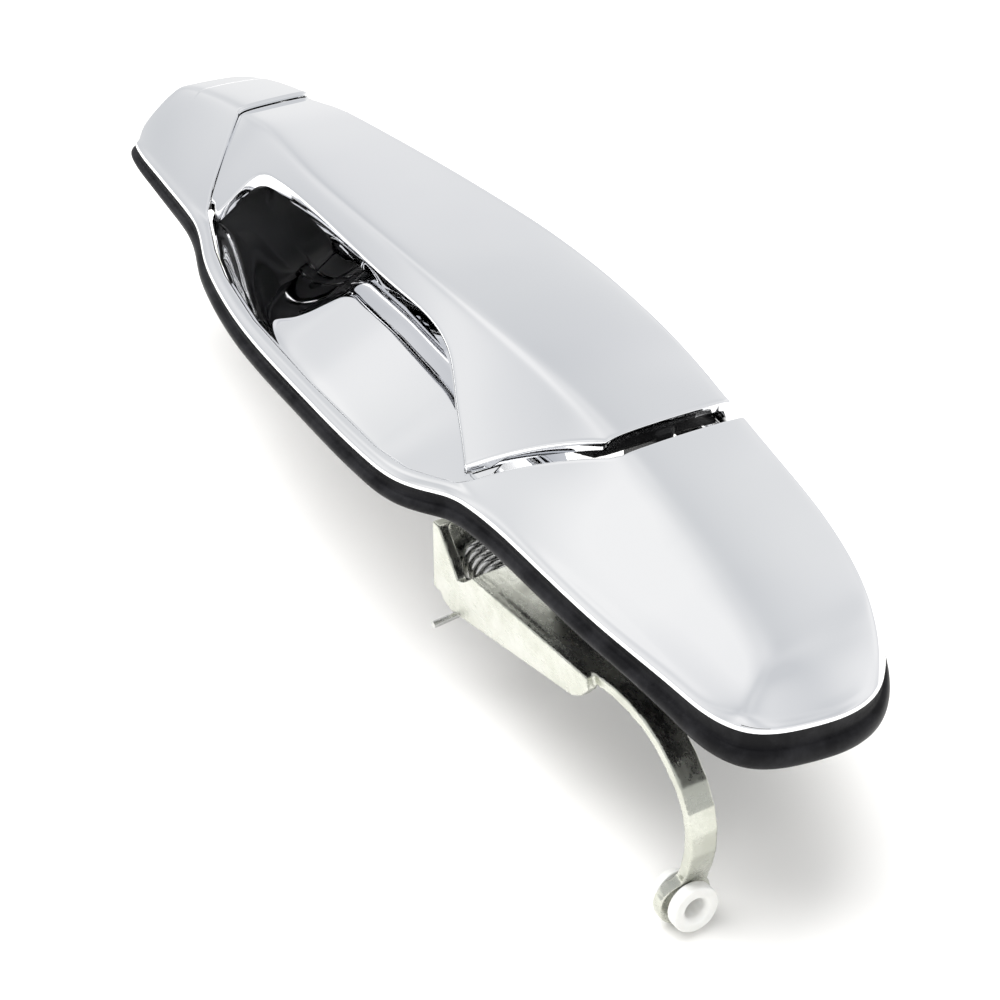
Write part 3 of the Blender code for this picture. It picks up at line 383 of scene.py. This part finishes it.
class Nodes:
    """Short names for building one material's nodes."""

    def __init__(self, name, color, rough, metal=0.0):
        self.made = bpy.data.materials.new(name)
        self.made.use_nodes = True
        self.tree = self.made.node_tree
        self.shader = self.tree.nodes["Principled BSDF"]
        self.shader.inputs["Base Color"].default_value = (*color, 1)
        self.shader.inputs["Roughness"].default_value = rough
        self.shader.inputs["Metallic"].default_value = metal
        self.place = self.add("ShaderNodeTexCoord").outputs["Object"]

    def add(self, kind, **settings):
        node = self.tree.nodes.new(kind)
        for key, value in settings.items():
            setattr(node, key, value)
        return node

    def link(self, a, b):
        self.tree.links.new(a, b)

    def stretched(self, scale, turn=(0, 0, 0)):
        mapping = self.add("ShaderNodeMapping")
        mapping.inputs["Scale"].default_value = scale
        mapping.inputs["Rotation"].default_value = turn
        self.link(self.place, mapping.inputs["Vector"])
        return mapping.outputs["Vector"]

    def noise(self, scale, detail=3.0, rough=0.5, vector=None):
        node = self.add("ShaderNodeTexNoise")
        node.inputs["Scale"].default_value = scale
        node.inputs["Detail"].default_value = detail
        node.inputs["Roughness"].default_value = rough
        self.link(vector or self.place, node.inputs["Vector"])
        return node.outputs["Fac"]

    def span(self, value, low, high, new_low, new_high):
        node = self.add("ShaderNodeMapRange")
        for key, number in zip(("From Min", "From Max", "To Min", "To Max"), (low, high, new_low, new_high)):
            node.inputs[key].default_value = number
        self.link(value, node.inputs["Value"])
        return node.outputs["Result"]

    def both(self, a, b, operation="ADD"):
        node = self.add("ShaderNodeMath", operation=operation)
        for i, value in enumerate((a, b)):
            if isinstance(value, (int, float)):
                node.inputs[i].default_value = value
            else:
                self.link(value, node.inputs[i])
        return node.outputs[0]

    def tint(self, value, colors):
        node = self.add("ShaderNodeValToRGB")
        ramp = node.color_ramp
        ramp.elements[0].position, ramp.elements[0].color = colors[0][0], (*colors[0][1], 1)
        ramp.elements[1].position, ramp.elements[1].color = colors[-1][0], (*colors[-1][1], 1)
        for position, color in colors[1:-1]:
            ramp.elements.new(position).color = (*color, 1)
        self.link(value, node.inputs["Fac"])
        self.link(node.outputs["Color"], self.shader.inputs["Base Color"])

    def rough(self, value):
        self.link(value, self.shader.inputs["Roughness"])

    def bump(self, value, strength, distance):
        node = self.add("ShaderNodeBump")
        node.inputs["Strength"].default_value = strength
        node.inputs["Distance"].default_value = distance
        self.link(value, node.inputs["Height"])
        self.link(node.outputs["Normal"], self.shader.inputs["Normal"])


def chrome_material():
    """Bright plating: near mirror, with a faint orange peel, wiping marks and hairline scratches."""
    m = Nodes("chrome_plating", (0.90, 0.905, 0.92), 0.03, 1.0)
    m.tint(m.noise(18.0, 2.0), ((0.35, (0.88, 0.885, 0.905)), (0.65, (0.925, 0.93, 0.94))))
    smear = m.noise(60.0, 4.0, 0.6, m.stretched((0.25, 1.0, 1.0), (0, 0, 0.5)))
    hair = m.noise(900.0, 2.0, 0.5, m.stretched((0.03, 1.0, 1.0), (0, 0.2, 0.9)))
    m.rough(m.both(m.span(smear, 0.45, 0.75, 0.018, 0.06), m.span(hair, 0.66, 0.8, 0.0, 0.05)))
    m.bump(m.both(m.noise(55.0, 2.0), m.both(hair, 0.03, "MULTIPLY")), 0.06, 0.0004)
    return m.made


def zinc_material():
    """Clear zinc over stamped steel: pale, faintly yellow and green, cloudy, with a fine spangle."""
    m = Nodes("zinc_plating", (0.56, 0.57, 0.51), 0.3, 1.0)
    cloud = m.noise(95.0, 4.0, 0.6)
    m.tint(cloud, ((0.32, (0.49, 0.50, 0.44)), (0.5, (0.56, 0.57, 0.51)), (0.68, (0.63, 0.635, 0.59))))
    grain = m.noise(900.0, 3.0, 0.6, m.stretched((0.35, 1.0, 1.0)))
    m.rough(m.both(m.span(cloud, 0.3, 0.7, 0.30, 0.17), m.span(grain, 0.4, 0.7, 0.0, 0.10)))
    m.bump(m.both(grain, m.both(m.noise(160.0, 2.0), 2.0, "MULTIPLY")), 0.18, 0.0002)
    return m.made


def steel_material(name, color, rough, along):
    m = Nodes(name, color, rough, 1.0)
    lines = m.noise(1400.0, 3.0, 0.6, m.stretched(along))
    m.tint(m.noise(220.0, 3.0), ((0.3, tuple(c * 0.82 for c in color)), (0.7, color)))
    m.rough(m.span(lines, 0.3, 0.7, rough * 0.7, rough * 1.5))
    m.bump(lines, 0.15, 0.0001)
    return m.made


def plastic_material(name, dark, light, rough, grain_scale):
    """Moulded plastic with a fine spark-eroded grain and slight wear."""
    m = Nodes(name, dark, rough)
    m.tint(m.noise(70.0, 4.0, 0.6), ((0.35, dark), (0.72, light)))
    grain = m.noise(grain_scale, 2.0)
    m.rough(m.span(m.noise(40.0, 3.0), 0.3, 0.7, rough * 0.8, rough * 1.25))
    m.bump(grain, 0.25, 0.00015)
    return m.made


def rubber_material():
    m = Nodes("gasket_rubber", (0.012, 0.012, 0.013), 0.4)
    m.shader.inputs["Specular IOR Level"].default_value = 0.08
    m.tint(m.noise(120.0, 5.0, 0.65), ((0.4, (0.007, 0.007, 0.008)), (0.8, (0.028, 0.028, 0.031))))
    m.rough(m.span(m.noise(80.0, 3.0), 0.3, 0.7, 0.28, 0.42))
    m.bump(m.noise(1500.0, 3.0, 0.6), 0.22, 0.0001)
    return m.made


def nylon_material():
    m = Nodes("white_nylon", (0.77, 0.77, 0.75), 0.42)
    m.shader.inputs["Subsurface Weight"].default_value = 0.25
    m.shader.inputs["Subsurface Radius"].default_value = (0.0012, 0.0011, 0.0010)
    m.tint(m.noise(140.0, 3.0), ((0.35, (0.72, 0.72, 0.695)), (0.7, (0.79, 0.79, 0.77))))
    m.rough(m.span(m.noise(90.0, 2.0), 0.3, 0.7, 0.34, 0.5))
    m.bump(m.noise(1100.0, 2.0), 0.12, 0.0001)
    return m.made


CHROME = chrome_material()
ZINC = zinc_material()
STEEL = steel_material("turned_steel", (0.64, 0.65, 0.66), 0.24, (1.0, 1.0, 1.0))
WIRE = steel_material("spring_wire", (0.66, 0.66, 0.65), 0.22, (0.3, 1.0, 1.0))
BLACK = plastic_material("black_moulding", (0.014, 0.014, 0.015), (0.030, 0.030, 0.032), 0.44, 1300.0)
RUBBER = rubber_material()
NYLON = nylon_material()


# ---- the pieces ----

def quarter_round(radius):
    """Distances from an edge, and how far each lies below the surface, for rows round its rounding."""
    turn = np.linspace(0, math.pi / 2, ROLL)
    return radius * (1 - np.cos(turn)), radius * (1 - np.sin(turn))


def make_bezel():
    stations, columns, low_columns = 860, 96, 14
    outer, (inner, cap) = outer_edge(stations), inner_edge(stations)
    length = np.linalg.norm(outer - inner, axis=1)
    way = (outer - inner) / length[:, None]
    middle = np.linspace(0, 1, columns + 2)[1:-1]
    run, drop = [], []
    for size, radius in zip(length, EDGE_RADIUS + 0.35 * cap):
        ends, down = quarter_round(radius)
        out_ends, out_down = quarter_round(EDGE_RADIUS)
        flat = radius + (size - radius - EDGE_RADIUS) * middle
        run.append(np.concatenate([ends, flat, size - out_ends[::-1]]))
        drop.append(np.concatenate([down, 0 * middle, out_down[::-1]]))
    run, drop = np.array(run), np.array(drop)
    low_run = length[:, None] * np.linspace(0, 1, low_columns)[None, :]
    plan = inner[:, None, :] + way[:, None, :] * run[..., None]
    low_plan = inner[:, None, :] + way[:, None, :] * low_run[..., None]
    caps = np.repeat(cap[:, None], run.shape[1], axis=1)
    low_caps = np.repeat(cap[:, None], low_columns, axis=1)
    top = bezel_z(plan[..., 0], plan[..., 1], caps)
    low_top = bezel_z(low_plan[..., 0], low_plan[..., 1], low_caps)
    under = bezel_under_z(low_plan[..., 0], low_plan[..., 1], low_caps, low_top)
    # the left cap's edge is thinner, to let the bar's end under it
    seam = (low_caps > 0.99) * (low_plan[..., 0] < -80) * np.exp(-((low_run / 2.6) ** 2))
    under = np.maximum(under, low_top - BEZEL_WALL + 1.15 * seam - 9 * (seam < 0.02))
    # each rounded edge stays above the underside there
    at_inner = np.arange(run.shape[1]) < run.shape[1] // 2
    edge_under = np.where(at_inner, under[:, :1], under[:, -1:])
    drop = np.minimum(drop, np.maximum(top - 0.12 - edge_under, 0.0))
    points, faces = between(np.dstack([plan, top - drop]), np.dstack([low_plan, under]), ring=True)
    obj = mesh_piece("bezel_chrome", points, faces, "housing", CHROME, 50)
    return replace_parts(obj, "bezel")


def make_cover():
    radius, rows, columns = COVER_EDGE_RADIUS, 260, 72
    ends, down = quarter_round(radius)
    start = SEAM_X - UNDER_CAP
    span = BAR_END_X - start
    along = np.concatenate([ends, np.linspace(radius, span - radius, rows + 2)[1:-1], span - ends[::-1]])
    drop_u = np.concatenate([down, np.zeros(rows), down[::-1]])
    u = along / span
    low_x, high_x = BAR_LOW_X[0] + (BAR_LOW_X[1] - BAR_LOW_X[0]) * u, start + along
    top_y = np.interp(high_x, *OUTLINE_TOP) - np.where(high_x < -85, 1.2, 0.7)
    # each row runs from the lower edge over the ridge to the upper edge
    rails = np.stack([np.stack([low_x, bar_low_y(low_x)], 1), np.stack([high_x, ridge_y(high_x)], 1),
                      np.stack([high_x, top_y], 1)], 1)
    first = np.linalg.norm(rails[:, 1] - rails[:, 0], axis=1)
    whole = first + np.linalg.norm(rails[:, 2] - rails[:, 1], axis=1)
    middle = np.linspace(0, 1, columns + 2)[1:-1]
    run = np.concatenate([ends[None, :] + 0 * whole[:, None],
                          radius + (whole[:, None] - 2 * radius) * middle,
                          whole[:, None] - ends[::-1][None, :]], 1)
    drop_v = np.concatenate([down, 0 * middle, down[::-1]])
    plan = np.empty((*run.shape, 2))
    for i in range(len(u)):
        at = (0.0, first[i], whole[i])
        for k in (0, 1):
            plan[i, :, k] = np.interp(run[i], at, rails[i, :, k])
    x, y = plan[..., 0], plan[..., 1]
    top = bar_skin_z(x, y)
    lean_u, lean_v = 1 - drop_u / radius, 1 - drop_v / radius
    both = np.clip(lean_u[:, None] ** 2 + lean_v[None, :] ** 2 - 1, 0, 1)
    top_round = top - radius * (1 - np.sqrt(both))
    floor = np.where(y > 20, top[:, -1:], -99.0)
    under = np.minimum(np.maximum(bar_skin_z(x, y, COVER_WALL), floor), top - 0.6)
    points, faces = between(np.dstack([x, y, top_round]), np.dstack([x, y, under]))
    obj = mesh_piece("handle_cover_chrome", points, faces, "handle", CHROME, 50)
    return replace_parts(obj, "handle_cover")


def smoothed(line, passes):
    """An open line of points with its kinks averaged out, and its ends kept."""
    for _ in range(passes):
        line[1:-1] = (line[:-2] + 2 * line[1:-1] + line[2:]) / 4
    return line


def cup_front():
    """The bowl's front edge in plan, under the bezel's inner edge, and the distance run along it."""
    inner, _ = inner_edge(4000)
    crease = inner[(inner[:, 1] < -15) & (inner[:, 0] > -87) & (inner[:, 0] < 44)]
    crease = smoothed(crease[np.argsort(crease[:, 0])], 60)
    inward = np.gradient(crease, axis=0) @ np.array([[0, 1], [-1, 0]])
    inward /= np.linalg.norm(inward, axis=1, keepdims=True)
    front = np.vstack([(CUP_LEFT_X, -6.0), crease + inward * (CUP_LIP + 0.4), (55.0, -8.0)])
    run = np.concatenate([[0], np.cumsum(np.linalg.norm(np.diff(front, axis=0), axis=1))])
    fine = np.linspace(0, run[-1], 1600)
    front = smoothed(np.stack([np.interp(fine, run, front[:, i]) for i in (0, 1)], 1), 120)
    run = np.concatenate([[0], np.cumsum(np.linalg.norm(np.diff(front, axis=0), axis=1))])
    return front, run


def make_cup():
    u, v = np.linspace(0, 1, 261), np.linspace(0, 1, 92)
    front, run = cup_front()
    front_x, front_y = (np.interp(u * run[-1], run, front[:, i]) for i in (0, 1))
    back_x = front[0, 0] + (front[-1, 0] - front[0, 0]) * u
    x = front_x[:, None] * (1 - v) + back_x[:, None] * v
    y = front_y[:, None] * (1 - v) + cup_back_y(back_x)[:, None] * v
    depth = edge_distance(x, y, front, closed=False)
    sheet = np.dstack([x, y, cup_z(x, y, depth)])
    normal = np.cross(np.gradient(sheet, axis=0), np.gradient(sheet, axis=1))
    normal /= np.linalg.norm(normal, axis=2, keepdims=True)
    normal *= np.sign(normal[..., 2:])
    wall = CUP_LIP + (CUP_WALL - CUP_LIP) * np.clip(depth / 2.5, 0, 1)[..., None]
    points, faces = between(sheet, sheet - wall * normal)
    obj = mesh_piece("grip_cup_chrome", points, faces, "housing", CHROME, 60)
    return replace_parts(obj, "grip_cup")


# the gasket's lip in section: how far out from the bezel's edge, and the height, from its back to its top
GASKET_LIP = ((0.15, 0.0), (0.8, 0.22), (1.28, 0.9), (1.28, 1.7), (0.85, 2.35), (0.25, 2.62),
              (-0.2, 2.75), (-0.4, 3.05), (-0.45, 3.9), (-0.4, 4.7))


def make_gasket():
    stations = 900
    line = outer_edge(stations)
    ahead = np.roll(line, -1, axis=0) - np.roll(line, 1, axis=0)
    out = np.stack([ahead[:, 1], -ahead[:, 0]], axis=1)
    out /= np.linalg.norm(out, axis=1, keepdims=True)
    if (out[line[:, 0] > 130][:, 0] < 0).all():
        out = -out
    height = under_z(line[:, 0]) - CLEARANCE
    in_cup = (line[:, 1] < -20) & (line[:, 0] < 44) & (line[:, 0] > -86)
    inner = np.where(in_cup, 0.6, 3.2)
    for _ in range(60):
        inner = (np.roll(inner, 1) + inner + np.roll(inner, -1)) / 3
    knots = np.array(GASKET_LIP)
    place = np.concatenate([[0], np.cumsum(np.linalg.norm(np.diff(knots, axis=0), axis=1))])
    fine = np.linspace(0, place[-1], 34)
    profile = list(zip(*(spline(*zip(place, knots[:, i]))(fine) for i in (0, 1))))
    rows = []
    for point, way, top, back in zip(line, out, height, inner):
        seat = float(seat_z(point[0]))
        section = [(away, seat + max(level, 0.0) * (top - seat) / 4.7) for away, level in profile]
        section += [(-back - 0.6, top), (-back - 0.6, seat)]
        rows.append([(*(point + way * away), level) for away, level in section])
    count = len(rows[0])
    points = np.array(rows).reshape(-1, 3)
    faces = []
    for i in range(stations):
        for j in range(count):
            j2, i2 = (j + 1) % count, (i + 1) % stations
            faces.append((i * count + j, i2 * count + j, i2 * count + j2, i * count + j2))
    obj = mesh_piece("gasket_rubber_seal", points, faces, "housing", RUBBER, 40)
    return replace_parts(obj, "gasket")


def softened(node, name, body, material, voxel, passes, factor=0.5):
    """A fine copy of a CAD node with the rounded edges of a stamping or moulding."""
    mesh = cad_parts[node].data.copy()
    mesh.name = name
    obj = bpy.data.objects.new(name, mesh)
    bpy.context.scene.collection.objects.link(obj)
    remesh = obj.modifiers.new("fine", "REMESH")
    remesh.mode, remesh.voxel_size, remesh.adaptivity = "VOXEL", voxel * MM, 0.0
    smooth = obj.modifiers.new("round", "SMOOTH")
    smooth.factor, smooth.iterations = factor, passes
    graph = bpy.context.evaluated_depsgraph_get()
    fine = bpy.data.meshes.new_from_object(obj.evaluated_get(graph))
    obj.modifiers.clear()
    obj.data = fine
    bpy.data.meshes.remove(mesh)
    dress(obj, body, material, 80)
    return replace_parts(obj, node)


def clip_point(along):
    way = Vector((math.cos(CLIP_TILT), 0, math.sin(CLIP_TILT)))
    return Vector(CLIP_AT) + way * along


def make_rod_clip():
    profile = rounded_profile(((-4.6, 2.2), (-4.6, 3.2), (-1.8, 4.6), (-1.75, 2.9), (2.5, 2.9), (2.5, 5.0),
                               (5.2, 5.0), (5.2, 2.9), (4.4, 2.2)), 0.45)
    way = clip_point(1.0) - Vector(CLIP_AT)
    obj = lathe("rod_clip_nylon", profile, CLIP_AT, way, "clip", NYLON, 72, 50)
    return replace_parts(obj, "rod_clip")


def make_pin(name, node, profile, start, way, body, material):
    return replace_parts(lathe(name, profile, start, way, body, material, 48, 40), node)


def make_pivot_pin():
    py, pz = PIVOT
    profile = rounded_profile(((0, 0.02), (0, 2.4), (40.9, 2.4), (40.9, 3.8), (42.8, 3.8), (42.8, 0.02)), 0.4)
    make_pin("pivot_pin_steel", "lever_pin", profile, (31.0, py, pz), (1, 0, 0), "housing", STEEL)


def make_spring():
    py, pz = PIVOT
    steps = 40
    points = [(39.7, -27.2, -27.9), (39.5, -21.4, -27.6)]
    coil = []
    for i in range(int(SPRING_TURNS * steps) + 1):
        angle = math.pi - 2 * math.pi * i / steps
        coil.append((SPRING_X + SPRING_PITCH * i / steps, py + SPRING_R * math.cos(angle),
                     pz + SPRING_R * math.sin(angle)))
    end_x = coil[-1][0]
    before = [(39.3, -20.6, -26.8), (38.6, -19.7, -23.5), (38.0, -19.3, -19.5)]
    after = [(end_x + 0.5, py + 3.4, pz + 5.4), (end_x + 1.5, py + 6.0, pz + 9.0),
             (end_x + 4.0, py + 6.5, pz + 10.6)]
    data = bpy.data.curves.new("return_spring_wire", "CURVE")
    data.dimensions, data.bevel_depth = "3D", SPRING_WIRE / 2 * MM
    data.bevel_resolution, data.use_fill_caps = 5, True
    line = data.splines.new("POLY")
    route = points + before + coil + after
    line.points.add(len(route) - 1)
    for target, point in zip(line.points, route):
        target.co = (*(Vector(point) * MM), 1)
    obj = bpy.data.objects.new("return_spring_wire", data)
    bpy.context.scene.collection.objects.link(obj)
    data.materials.append(WIRE)
    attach(obj, "crank")
    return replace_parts(obj, "lever_spring")


def make_back_plate():
    """The plated skin on the finger side of the bar."""
    x = np.repeat(np.linspace(-76.0, 45.0, 130)[:, None], 60, axis=1)
    low = bar_low_y(x) + 0.9
    high = np.interp(x, *OUTLINE_TOP) - 5.2
    y = low + (high - low) * np.linspace(0, 1, 60)
    z = higher_of(CORE_BACK_Z + 0 * x, 17.5 - 1.1 * (y + 4.5), 2.0) - 0.25
    z = np.minimum(z, bar_skin_z(x, y, COVER_WALL) - 0.3)
    points, faces = between(np.dstack([x, y, z]), np.dstack([x, y, z - 0.35]))
    return mesh_piece("bar_back_plating", points, faces, "handle", CHROME, 60)


make_bezel()
make_cover()
make_back_plate()
make_cup()
make_gasket()
softened("lever", "bell_crank_zinc", "crank", ZINC, 0.3, 6)
softened("handle_core", "bar_inner_moulding", "handle", BLACK, 0.45, 3)
softened("carrier", "carrier_moulding", "housing", BLACK, 0.55, 3)
make_rod_clip()
make_pivot_pin()
make_spring()

CAD_FINISH = {"hinge_pin": STEEL, "lever_pin_clip": STEEL,
              "hinge_bushing_lower": NYLON, "hinge_bushing_upper": NYLON,
              "stud_front": ZINC, "stud_rear": ZINC, "bar_bumper": RUBBER,
              **{f"bezel_screw_{i}": ZINC for i in (1, 2, 3, 4)}}
for node, material in CAD_FINISH.items():
    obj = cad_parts[node]
    obj.data.materials.clear()
    obj.data.materials.append(material)
    bevel = obj.modifiers.new("soft edges", "BEVEL")
    bevel.width, bevel.segments = 0.18 * MM, 2
    bevel.limit_method, bevel.angle_limit = "ANGLE", math.radians(40)


# ---- studio ----

def floor_material():
    m = Nodes("pale_floor", (0.93, 0.92, 0.90), 0.7)
    m.tint(m.noise(6.0, 2.0), ((0.3, (0.92, 0.91, 0.885)), (0.7, (0.94, 0.93, 0.91))))
    m.rough(m.span(m.noise(25.0, 2.0), 0.3, 0.7, 0.62, 0.75))
    m.shader.inputs["Specular IOR Level"].default_value = 0.15
    return m.made


CAMERA_AT, CAMERA_AZIMUTH, CAMERA_ELEVATION, CAMERA_LENS = (0.3986, -0.2229, 0.2897), 59.46, 35.0, 90.0
# name, place and size in metres, and power in watts; both face the origin
LAMPS = (("overhead", (-0.25, -0.2, 1.5), (1.5, 1.5), 33.0), ("front", (0.9, -0.5, 0.9), (0.6, 0.6), 2.5))
CARD_DISTANCE = 3.0
# name, azimuth from +X towards +Y, elevation, width and height in degrees, and tone
DARK_CARDS = (
    ("dark_wall", -40, 22, 46, 5, 0.012),
)


def make_floor():
    lowest = cad_bounds[0].z - 0.0004
    bm = bmesh.new()
    bmesh.ops.create_grid(bm, x_segments=2, y_segments=2, size=6.0, matrix=Matrix.Translation((0, 0, lowest)))
    mesh = bpy.data.meshes.new("studio_floor")
    bm.to_mesh(mesh)
    bm.free()
    floor = bpy.data.objects.new("studio_floor", mesh)
    bpy.context.scene.collection.objects.link(floor)
    mesh.materials.append(floor_material())


def card(name, place, size, look_at, color):
    """A card of the studio, seen only in reflections."""
    bm = bmesh.new()
    bmesh.ops.create_grid(bm, x_segments=1, y_segments=1, size=0.5)
    mesh = bpy.data.meshes.new(name)
    bm.to_mesh(mesh)
    bm.free()
    obj = bpy.data.objects.new(name, mesh)
    bpy.context.scene.collection.objects.link(obj)
    obj.location = place
    obj.rotation_euler = (Vector(look_at) - Vector(place)).to_track_quat("Z", "Y").to_euler()
    obj.scale = (*size, 1)
    m = Nodes(name + "_card", color, 0.9)
    m.shader.inputs["Specular IOR Level"].default_value = 0.0
    mesh.materials.append(m.made)
    obj.visible_camera = obj.visible_shadow = obj.visible_diffuse = False
    return obj


def lamp(name, place, look_at, size, power, color=(1, 1, 1)):
    data = bpy.data.lights.new(name, "AREA")
    data.shape, data.size, data.size_y = "RECTANGLE", size[0], size[1]
    data.energy, data.color = power, color
    obj = bpy.data.objects.new(name, data)
    bpy.context.scene.collection.objects.link(obj)
    obj.location = place
    obj.rotation_euler = (Vector(look_at) - Vector(place)).to_track_quat("-Z", "Y").to_euler()
    obj.visible_glossy = False
    return obj


def make_world():
    """A bright room: nearly white, with soft tones that differ by direction, so that chrome shows its form."""
    world = bpy.data.worlds.new("studio")
    bpy.context.scene.world = world
    world.use_nodes = True
    tree = world.node_tree
    back = tree.nodes["Background"]
    where = tree.nodes.new("ShaderNodeTexCoord").outputs["Generated"]
    clouds = tree.nodes.new("ShaderNodeTexNoise")
    clouds.inputs["Scale"].default_value = 1.6
    clouds.inputs["Detail"].default_value = 1.0
    tree.links.new(where, clouds.inputs["Vector"])
    ramp = tree.nodes.new("ShaderNodeValToRGB").color_ramp
    ramp.elements[0].position, ramp.elements[0].color = 0.30, (0.70, 0.715, 0.735, 1)
    ramp.elements[1].position, ramp.elements[1].color = 0.68, (1.0, 1.0, 1.0, 1)
    ramp_node = next(node for node in tree.nodes if node.type == "VALTORGB")
    tree.links.new(clouds.outputs["Fac"], ramp_node.inputs["Fac"])
    tree.links.new(ramp_node.outputs["Color"], back.inputs["Color"])
    back.inputs["Strength"].default_value = 0.95


def make_camera():
    data = bpy.data.cameras.new("camera")
    data.lens, data.sensor_width = CAMERA_LENS, 36.0
    data.clip_start, data.clip_end = 0.01, 50
    obj = bpy.data.objects.new("camera", data)
    bpy.context.scene.collection.objects.link(obj)
    azimuth, elevation = math.radians(CAMERA_AZIMUTH), math.radians(CAMERA_ELEVATION)
    back = Vector((math.sin(azimuth) * math.cos(elevation), -math.cos(azimuth) * math.cos(elevation),
                   math.sin(elevation)))
    obj.rotation_mode = "QUATERNION"
    obj.rotation_quaternion = (-back).to_track_quat("-Z", "Y")
    obj.location = CAMERA_AT
    bpy.context.scene.camera = obj


make_floor()
make_world()
for name, place, size, power in LAMPS:
    lamp(name, place, (0, 0, 0), size, power)
for name, azimuth, elevation, width, height, tone in DARK_CARDS:
    a, e = math.radians(azimuth), math.radians(elevation)
    way = Vector((math.cos(a) * math.cos(e), math.sin(a) * math.cos(e), math.sin(e)))
    size = [2 * CARD_DISTANCE * math.tan(math.radians(angle) / 2) for angle in (width, height)]
    card(name, way * CARD_DISTANCE, size, (0, 0, 0), (tone, tone, tone * 1.06))
make_camera()
bpy.context.scene.view_settings.view_transform = "Standard"
